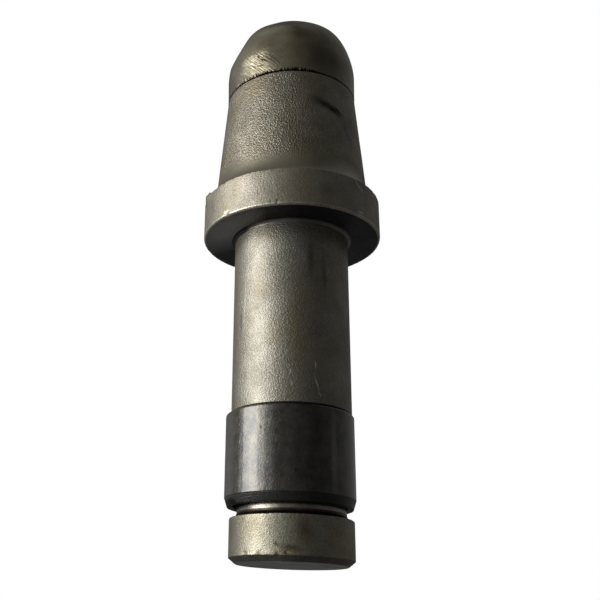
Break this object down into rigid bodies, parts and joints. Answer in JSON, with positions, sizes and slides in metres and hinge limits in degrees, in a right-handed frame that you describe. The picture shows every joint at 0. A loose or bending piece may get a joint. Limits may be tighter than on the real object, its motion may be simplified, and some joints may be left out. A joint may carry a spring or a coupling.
{
  "type": "conical cutting pick",
  "caption": "Round-shank cutting pick: domed hard cap brazed on a tapered head, wide collar, straight shank, and a split retaining sleeve that turns on its neck.",
  "frame": {"origin": "centre of the flat end face, on which the pick stands", "axes": "+Z along the pick's axis, from the shank's end to the domed nose; +Y towards the sleeve's open slot; +X to the right"},
  "size_m": [0.0471, 0.047, 0.1517],
  "materials": {
    "forged_steel": "shot-blasted and oiled forging",
    "hardened_cap": "smooth hardened surface",
    "braze_filler": "dark, scaled filler",
    "blackened_spring_steel": "black oxide, oiled"
  },
  "bodies": {
    "pick": {"pick_body": "forged_steel", "domed_cap": "hardened_cap", "braze_layer": "braze_filler"},
    "sleeve": {"retaining_sleeve": "blackened_spring_steel"}
  },
  "joints": [
    {"name": "sleeve_turn", "type": "hinge", "parent": "pick", "child": "sleeve", "pos_m": [-0.0004, 0, 0.0245], "axis": [0, 0, 1], "continuous": true}
  ]
}
